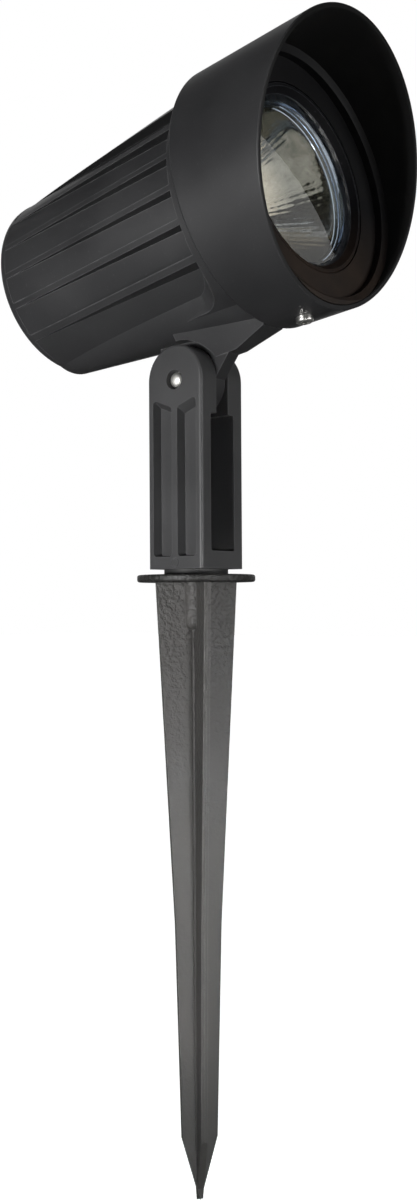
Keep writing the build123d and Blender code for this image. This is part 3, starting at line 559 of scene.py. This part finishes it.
# Painted shade: the same charcoal powder coat, made darker on the hood.
hood_coat_painted_darker = make_coat(
    "hood_coat_painted_darker",
    dark=(0.018, 0.018, 0.019),
    light=(0.024, 0.024, 0.025),
    worn_and_highlight=(0.075, 0.075, 0.077),
    roughness=0.46,
    grain_scale=1700,
    grain_depth=0.06 * mm,
    edge_mark_radius=0.4 * mm,
    gloss=0.3,
)
# Painted shade inside the hood: the surfaces that face the lamp axis are darker and duller.
tint(hood_coat_painted_darker, facing_axis, (0.009, 0.009, 0.009))
dull(hood_coat_painted_darker, facing_axis, roughness=0.85)
# Painted shade: the ring inside the hood is coated much darker than the rest of the casting.
ring_coat_painted_dark = make_coat(
    "ring_coat_painted_dark",
    dark=(0.009, 0.009, 0.010),
    light=(0.012, 0.012, 0.013),
    worn_and_highlight=(0.05, 0.05, 0.052),
    roughness=0.5,
    grain_scale=1700,
    grain_depth=0.05 * mm,
    edge_mark_radius=0.3 * mm,
    gloss=0.2,
)
# Dust and painted reflected light, low on the ring.
tint(ring_coat_painted_dark, dust_and_glow_low_in_hood, (0.042, 0.030, 0.023))
bright_steel = make_steel("bright_steel", (0.74, 0.73, 0.70), roughness=0.26)
satin_steel = make_steel("satin_steel", (0.80, 0.79, 0.75), roughness=0.45)
black_rubber = make_plain("black_rubber", (0.010, 0.010, 0.010), (0.016, 0.016, 0.016), roughness=0.7)
friction_plastic = make_plain("friction_plastic", (0.012, 0.012, 0.012), (0.018, 0.018, 0.018), roughness=0.6)
machined_aluminium = make_plain(
    "machined_aluminium", (0.60, 0.60, 0.61), (0.52, 0.52, 0.53), roughness=0.3, metallic=1.0
)
white_mask = make_plain("white_solder_mask", (0.78, 0.78, 0.75), (0.70, 0.70, 0.68), roughness=0.4)
phosphor = make_plain("led_phosphor", (0.85, 0.62, 0.14), (0.80, 0.56, 0.10), roughness=0.25)
white_plastic = make_plain("white_moulding", (0.74, 0.74, 0.71), (0.68, 0.68, 0.66), roughness=0.45)
wire_cover = make_plain("wire_cover", (0.45, 0.03, 0.025), (0.38, 0.025, 0.02), roughness=0.4)
board_green = make_plain("board_green", (0.015, 0.12, 0.05), (0.02, 0.15, 0.065), roughness=0.35)
ferrite = make_plain("ferrite", (0.05, 0.05, 0.052), (0.08, 0.08, 0.082), roughness=0.6)
capacitor_sleeve = make_plain("capacitor_sleeve", (0.015, 0.02, 0.05), (0.02, 0.025, 0.06), roughness=0.3)
black_epoxy = make_plain("black_epoxy", (0.012, 0.012, 0.012), (0.02, 0.02, 0.02), roughness=0.55)
terminal_plastic = make_plain("terminal_plastic", (0.03, 0.16, 0.07), (0.04, 0.19, 0.09), roughness=0.45)
gland_nylon = make_plain("gland_nylon", (0.014, 0.014, 0.015), (0.02, 0.02, 0.021), roughness=0.42)
window_gasket = make_plain("window_gasket", (0.035, 0.042, 0.055), (0.05, 0.058, 0.072), roughness=0.45)
dome_gel = make_plain("dome_gel", (0.90, 0.86, 0.62), (0.86, 0.80, 0.52), roughness=0.12)
window_glass = make_glass()
bright_mirror = make_mirror()

finish_of_slot = {
    "dark_coat": charcoal_coat,
    "bezel_coat": bezel_coat,
    "spike_coat": spike_coat,
    "stainless": bright_steel,
    "friction_pad": friction_plastic,
    "silicone": black_rubber,
    "clear_glass": window_glass,
    "reflector_metal": bright_mirror,
    "bare_aluminium": machined_aluminium,
    "white_mask": white_mask,
    "led_phosphor": phosphor,
    "white_plastic": white_plastic,
    "wire_cover": wire_cover,
    "board_green": board_green,
    "ferrite": ferrite,
    "capacitor_sleeve": capacitor_sleeve,
    "black_plastic": black_epoxy,
    "terminal_plastic": terminal_plastic,
    "gland_nylon": gland_nylon,
}
for part in record["subparts"]:
    dress(nodes[part["node"]], finish_of_slot[part["material_slot"]])
dress(nodes["glass_gasket"], window_gasket)
dress(nodes["hood"], hood_coat_painted_darker)
dress(nodes["front_ring"], ring_coat_painted_dark)
dress(nodes["housing"], housing_coat_painted_darker)


# ---- pieces that the solids only stand for ----
def add_piece(piece, body, material):
    """Shade a piece, dress it and let it ride on its body."""
    smooth(piece)
    dress(piece, material)
    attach(piece, body)


bowl_wall = 0.9 * mm
bowl_flange = 1.0 * mm
bowl_rim_width = 1.1 * mm
bowl_points = 22
bowl_flutes = 64
points_per_flute = 6
flute_depth = 0.0018  # as a share of the radius
flute_run_out = 0.25  # as a share of the bowl's depth, at each end


def make_bowl():
    """The reflector: a finely fluted bowl, with a stepped rim that reaches up to the glass."""
    rear, front = before_joint("reflector")
    throat, rim = radii("reflector")
    mouth = window_mouth()
    bore = mouth + bowl_rim_width
    depth = front - bowl_flange - rear

    def bowl_radius(share):
        """The bowl's inner radius at a share of its depth."""
        return (throat**2 + (mouth**2 - throat**2) * share) ** 0.5

    shares = [(i / bowl_points) ** 2 for i in range(bowl_points + 1)]
    curve = [(bowl_radius(share), rear + depth * share) for share in shares]
    step = (bore - mouth) / 3
    reach = before_joint("front_glass")[0] - 0.1 * mm
    rise = (reach - front) / 3
    stepped = [
        (mouth + 0.25 * step, front - 0.6 * bowl_flange),
        (mouth + step, front - 0.4 * bowl_flange),
        (mouth + step, front + 0.7 * rise),
        (mouth + 1.3 * step, front + rise),
        (mouth + 2 * step, front + 1.1 * rise),
        (mouth + 2 * step, front + 1.9 * rise),
        (mouth + 2.3 * step, front + 2.1 * rise),
        (bore, reach),
        (bore, front + 0.1 * mm),
    ]
    seat = [(bore, front), (rim, front), (rim, front - bowl_flange)]
    behind = [(radius + bowl_wall, station) for radius, station in reversed(curve)]
    bowl = turned(curve + stepped + seat + behind, bowl_flutes * points_per_flute)
    for vertex in bowl.verts:
        share = (vertex.co.z - rear) / depth
        if share < 1 and vertex.co.xy.length < bowl_radius(max(0, share)) + bowl_wall / 2:
            turn = vertex.co.xy.angle_signed(Vector((1, 0)))
            fade = min(1, share / flute_run_out, (1 - share) / flute_run_out)
            vertex.co.xy *= 1 + flute_depth * fade * cos(bowl_flutes * turn)
    bowl = finished(bowl, "reflector_bowl", lamp_place)
    add_piece(bowl, "head", bright_mirror)
    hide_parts("reflector")


chip_circle = 5.2 * mm
chip_count = 8
dome_radius = 1.25 * mm
dome_flattening = 0.8
dome_clearance = 0.01 * mm


def make_light_domes():
    """Pale gel domes over the light-emitting chips: one in the middle, the others round it."""
    chips_top = before_joint("led_chips")[1]
    domes = bmesh.new()
    angles = [i * tau / chip_count for i in range(chip_count)]
    spots = [(0, 0)] + [(chip_circle * cos(angle), chip_circle * sin(angle)) for angle in angles]
    for x, y in spots:
        ball = bmesh.ops.create_uvsphere(domes, u_segments=20, v_segments=12, radius=dome_radius)["verts"]
        bmesh.ops.translate(domes, vec=(x, y, 0), verts=ball)
    bmesh.ops.bisect_plane(
        domes,
        geom=domes.verts[:] + domes.edges[:] + domes.faces[:],
        plane_co=(0, 0, 0),
        plane_no=(0, 0, 1),
        clear_inner=True,
    )
    bmesh.ops.holes_fill(domes, edges=[e for e in domes.edges if e.is_boundary])
    bmesh.ops.scale(domes, vec=(1, 1, dome_flattening), verts=domes.verts)
    bmesh.ops.translate(domes, vec=(0, 0, chips_top + dome_clearance), verts=domes.verts)
    add_piece(finished(domes, "light_domes", lamp_place), "head", dome_gel)


def make_bolt_crown():
    """The rounded end of the tilt bolt, seen through the round window in the ear."""
    low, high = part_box("tilt_bolt")
    bolt_end = Vector((low[0], 0, low[2] / 2 + high[2] / 2))
    outline = [(0, 0.95), (0.8, 0.9), (1.5, 0.7), (2.0, 0.38), (2.3, 0), (2.3, -0.2), (0, -0.2)]
    crown = turned([(radius * mm, height * mm) for radius, height in outline], steps=48)
    bmesh.ops.transform(crown, matrix=Matrix.Rotation(-pi / 2, 4, "Y"), verts=crown.verts)
    crown = finished(crown, "bolt_crown", Matrix.Translation(bolt_end))
    add_piece(crown, "bracket", satin_steel)


# The spike's blades: how they are turned, and (width, depth below the ground line) along an edge.
blade_heading = radians(-34.6)
blade_edge = ((27.1 * mm, 0.05 * mm), (15.4 * mm, 112.0 * mm), (11.8 * mm, 181.6 * mm))
ridge_foot = 0.32 * mm
ridge_crest = 0.16 * mm
ridge_sunk = 0.3 * mm
ridge_height = 0.22 * mm
bead_radius = 0.55 * mm
bead_sides = 8
bead_corner = 1.25 * mm
bead_depths = (14.0 * mm, 110.0 * mm, 186.0 * mm)


def make_blade_ridges():
    """Parting ridges along the edges of the spike's blades, and the beads in the corners between them."""
    ridge = [
        (-ridge_foot, -ridge_sunk),
        (ridge_foot, -ridge_sunk),
        (ridge_crest, ridge_height),
        (-ridge_crest, ridge_height),
    ]
    angles = [i * tau / bead_sides for i in range(bead_sides)]
    bead = [(bead_radius * cos(angle), bead_radius * sin(angle)) for angle in angles]
    on_edge = [Matrix.Translation((0, width / 2, -depth)) for width, depth in blade_edge]
    in_corner = [Matrix.Translation((bead_corner, bead_corner, -depth)) for depth in bead_depths]
    joined = bmesh.new()
    for quarter in range(4):
        turn = Matrix.Rotation(blade_heading + quarter * pi / 2, 4, "Z")
        for section, places in ((ridge, on_edge), (bead, in_corner)):
            bar = drawn_along(section, [turn @ place for place in places])
            mesh = bpy.data.meshes.new("part_of_ridges")
            bar.to_mesh(mesh)
            bar.free()
            joined.from_mesh(mesh)
            bpy.data.meshes.remove(mesh)
    add_piece(finished(joined, "blade_ridges"), "spike", spike_coat)


make_bowl()
make_light_domes()
make_bolt_crown()
make_blade_ridges()


# ---- the camera ----
# Its own directions and place, as measured on the photograph.
view_azimuth = radians(-50.64)
view_pitch = radians(-0.14)
view_roll = radians(-0.34)
view_distance = 432.4 * mm
view_shift_right = 3.98 * mm
view_height = -5.86 * mm
photo_height_px = 1200
focal_px = 1316.6
sensor_width = 36.0  # millimetres, as the lens length is

view_back = Vector(
    (sin(view_azimuth) * cos(view_pitch), -cos(view_azimuth) * cos(view_pitch), sin(view_pitch))
)
view_right = Vector((cos(view_azimuth), sin(view_azimuth), 0))
view_up = view_back.cross(view_right)


def make_camera():
    """The camera at the photograph's viewing angle."""
    data = bpy.data.cameras.new("photo_view")
    data.sensor_width = sensor_width
    data.lens = focal_px * sensor_width / photo_height_px
    data.clip_start = 0.01
    data.clip_end = 50
    camera = bpy.data.objects.new("photo_view", data)
    bpy.context.scene.collection.objects.link(camera)
    right = cos(view_roll) * view_right + sin(view_roll) * view_up
    up = -sin(view_roll) * view_right + cos(view_roll) * view_up
    turn = Matrix((right, up, view_back)).transposed().to_4x4()
    target = view_right * view_shift_right + Vector((0, 0, view_height))
    camera.matrix_world = Matrix.Translation(target + view_back * view_distance) @ turn
    bpy.context.scene.camera = camera


# ---- the studio ----
floor_half_width = 6.0
floor_below_tip = 0.5 * mm
front_level = 0.05
back_level = 0.2
white = (1, 1, 1, 1)


def to_camera_or_glass(tree):
    """1 for what the camera sees straight or through the glass, 0 for light and reflections."""
    rays = tree.nodes.new("ShaderNodeLightPath").outputs
    return calculate(tree, "MAXIMUM", rays["Is Camera Ray"], rays["Is Transmission Ray"])


def make_floor():
    """A floor under the spike's tip, grey to the lamp and white to the camera."""
    laying = bmesh.new()
    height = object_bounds()[0][2] - floor_below_tip
    bmesh.ops.create_grid(laying, x_segments=1, y_segments=1, size=floor_half_width)
    floor = finished(laying, "pale_floor", Matrix.Translation((0, 0, height)))
    material, tree, shader, place = new_material("pale_floor_paint")
    dress(floor, material)
    tone = noise(tree, place, scale=3, detail=2)
    link(tree, mixed(tree, tone, (0.36, 0.36, 0.36), (0.38, 0.38, 0.38)), shader.inputs["Base Color"])
    shader.inputs["Roughness"].default_value = 0.7
    link(tree, to_camera_or_glass(tree), shader.inputs["Emission Strength"])
    shader.inputs["Emission Color"].default_value = white


def make_world():
    """Studio surroundings: white to the camera, dim to the lamp, and brightest behind it and below."""
    world = bpy.data.worlds.new("studio")
    bpy.context.scene.world = world
    world.use_nodes = True
    tree = world.node_tree
    background = tree.nodes["Background"]
    looks = tree.nodes.new("ShaderNodeTexCoord").outputs["Generated"]
    away_from_camera = combine(tree, "DOT_PRODUCT", looks, -view_back, "Value")
    behind = ramp(tree, away_from_camera, 0.0, 1.0, from_low=-0.05, from_high=0.75)
    parts = tree.nodes.new("ShaderNodeSeparateXYZ")
    link(tree, looks, parts.inputs[0])
    lower = ramp(tree, parts.outputs["Z"], 1.0, 0.15, from_low=-0.35, from_high=0.5)
    around = calculate(tree, "MULTIPLY", lower, ramp(tree, behind, front_level, back_level))
    straight_behind = ramp(tree, away_from_camera, 0.0, 1.0, from_low=0.55, from_high=0.95)
    glossy = tree.nodes.new("ShaderNodeLightPath").outputs["Is Glossy Ray"]
    mirrored = calculate(tree, "MULTIPLY", glossy, straight_behind)
    shown = calculate(tree, "MAXIMUM", to_camera_or_glass(tree), mirrored)
    link(tree, calculate(tree, "MAXIMUM", around, shown), background.inputs["Strength"])
    background.inputs["Color"].default_value = white


def seen_from(right, up, back):
    """A place in metres along the camera's own directions, from the middle of the lamp."""
    lamp_middle = Vector((0, 0, 50 * mm))
    return view_right * right + view_up * up + view_back * back + lamp_middle


def add_softbox(name, place, target, width, height, power, spread=180):
    """A flat lamp in metres and watts, aimed at a target; a smaller spread in degrees keeps it on it."""
    light = bpy.data.lights.new(name, "AREA")
    light.shape = "RECTANGLE"
    light.size = width
    light.size_y = height
    light.energy = power
    light.spread = radians(spread)
    box = bpy.data.objects.new(name, light)
    bpy.context.scene.collection.objects.link(box)
    box.rotation_euler = (target - place).normalized().to_track_quat("-Z", "Y").to_euler()
    box.location = place


make_floor()
make_world()
make_camera()
head_aim = Vector((0, 0, 80 * mm))
spike_aim = Vector((0, 0, -120 * mm))
key_place = seen_from(right=-0.60, up=-0.13, back=0.725)
fill_place = seen_from(right=1.1, up=0.1, back=0.5)
low_place = seen_from(right=0.35, up=-0.16, back=0.75)
add_softbox("key_left", key_place, head_aim, width=0.16, height=0.1, power=10.8)
add_softbox("fill_right", fill_place, head_aim, width=0.5, height=0.5, power=4.2)
add_softbox("low_front", low_place, spike_aim, width=0.2, height=0.06, power=0.29, spread=36)

scene = bpy.context.scene
scene.view_settings.view_transform = "Standard"
